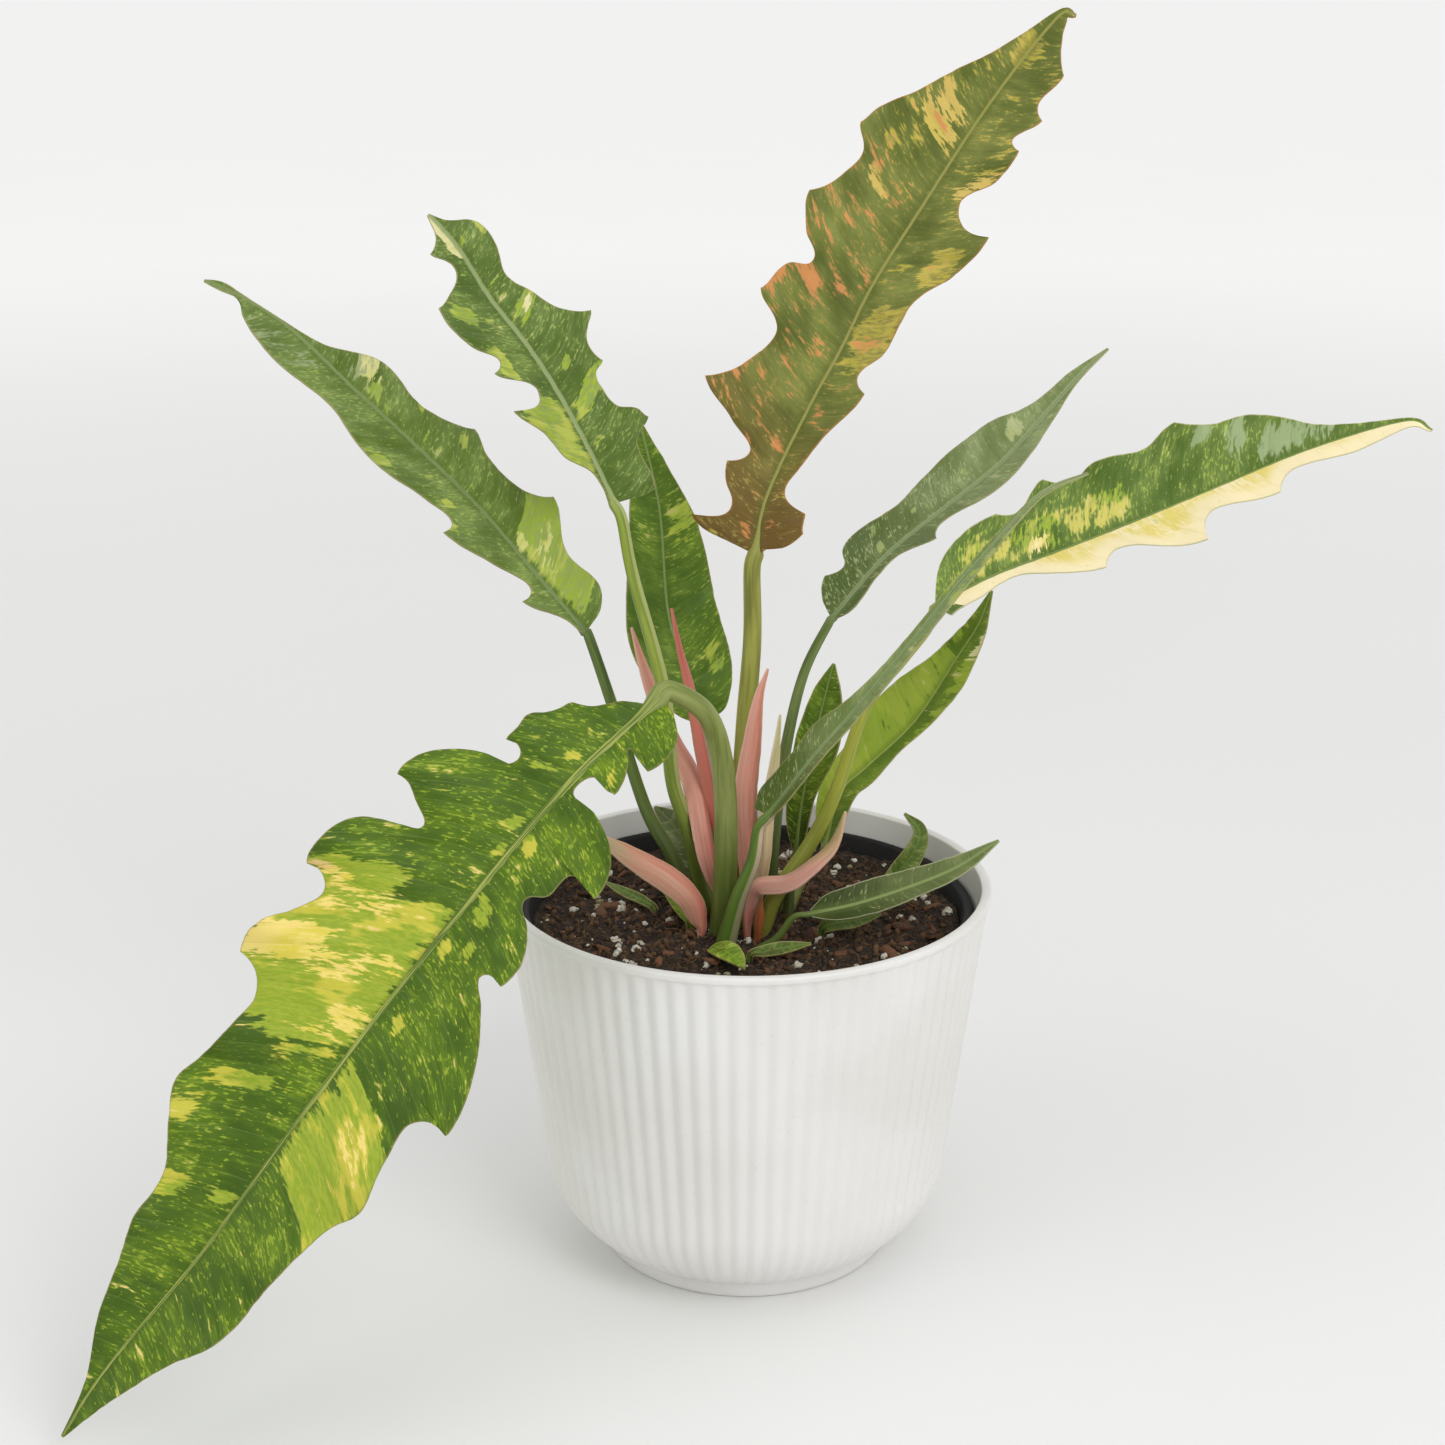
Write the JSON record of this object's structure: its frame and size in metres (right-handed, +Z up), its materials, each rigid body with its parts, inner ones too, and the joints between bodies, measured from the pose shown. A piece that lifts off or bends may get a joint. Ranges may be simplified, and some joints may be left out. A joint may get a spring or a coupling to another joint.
{
  "type": "potted philodendron",
  "caption": "Philodendron with long jagged variegated leaves, in soil in a nursery pot inside a round white fluted planter.",
  "frame": {"origin": "centre of the planter's flat underside, on the surface it stands on", "axes": "+Z up along the planter's axis; -Y towards the viewer of the picture, over the drooping front leaf's side; +X to the viewer's right"},
  "size_m": [0.4249, 0.2463, 0.4103],
  "materials": {
    "white_glaze": "smooth satin white glaze over upright flutes",
    "black_plastic": "thin black nursery plastic, lightly scuffed",
    "peat_soil": "dark fibrous peat with white perlite grains and bark chips",
    "variegated_leaf": "satin leaf, green with lime, yellow and cream sectors and flecks along the veins",
    "bronze_leaf": "satin young leaf, bronze green with orange and salmon patches",
    "grey_green_leaf": "satin leaf, grey green with fine pale flecks",
    "green_stalk": "smooth green stalk with fine lengthwise streaks",
    "olive_stalk": "smooth yellow olive stalk with fine lengthwise streaks",
    "pink_sheath": "smooth salmon pink leaf sheath",
    "pale_sheath": "smooth pale cream leaf sheath",
    "dry_sheath": "dry papery brown sheath"
  },
  "bodies": {
    "root": {"planter": "white_glaze", "nursery_pot": "black_plastic", "soil": "peat_soil", "crown": "olive_stalk", "front_leaf_stalk": "green_stalk", "front_leaf_blade": "variegated_leaf", "left_leaf_stalk": "green_stalk", "left_leaf_blade": "variegated_leaf", "upper_left_leaf_stalk": "olive_stalk", "upper_left_leaf_blade": "variegated_leaf", "hanging_leaf_stalk": "green_stalk", "hanging_leaf_blade": "variegated_leaf", "tall_leaf_stalk": "olive_stalk", "tall_leaf_blade": "bronze_leaf", "back_right_leaf_stalk": "green_stalk", "back_right_leaf_blade": "grey_green_leaf", "right_leaf_stalk": "olive_stalk", "right_leaf_blade": "variegated_leaf", "narrow_leaf_stalk": "green_stalk", "narrow_leaf_blade": "grey_green_leaf", "lower_right_leaf_stalk": "green_stalk", "lower_right_leaf_blade": "variegated_leaf", "short_leaf_stalk": "green_stalk", "short_leaf_blade": "variegated_leaf", "rim_leaf_stalk": "green_stalk", "rim_leaf_blade": "variegated_leaf", "left_sheath": "pink_sheath", "slim_sheath": "pink_sheath", "centre_sheath": "pink_sheath", "pale_sheath": "pale_sheath", "right_sheath": "pink_sheath", "low_sheath": "pink_sheath", "dry_sheath": "dry_sheath", "curled_leaflet": "variegated_leaf", "back_leaflet": "grey_green_leaf", "under_leaflet": "variegated_leaf", "front_leaflet": "variegated_leaf", "side_leaflet": "variegated_leaf", "edge_leaflet": "variegated_leaf", "thin_leaflet": "variegated_leaf"}
  },
  "joints": []
}
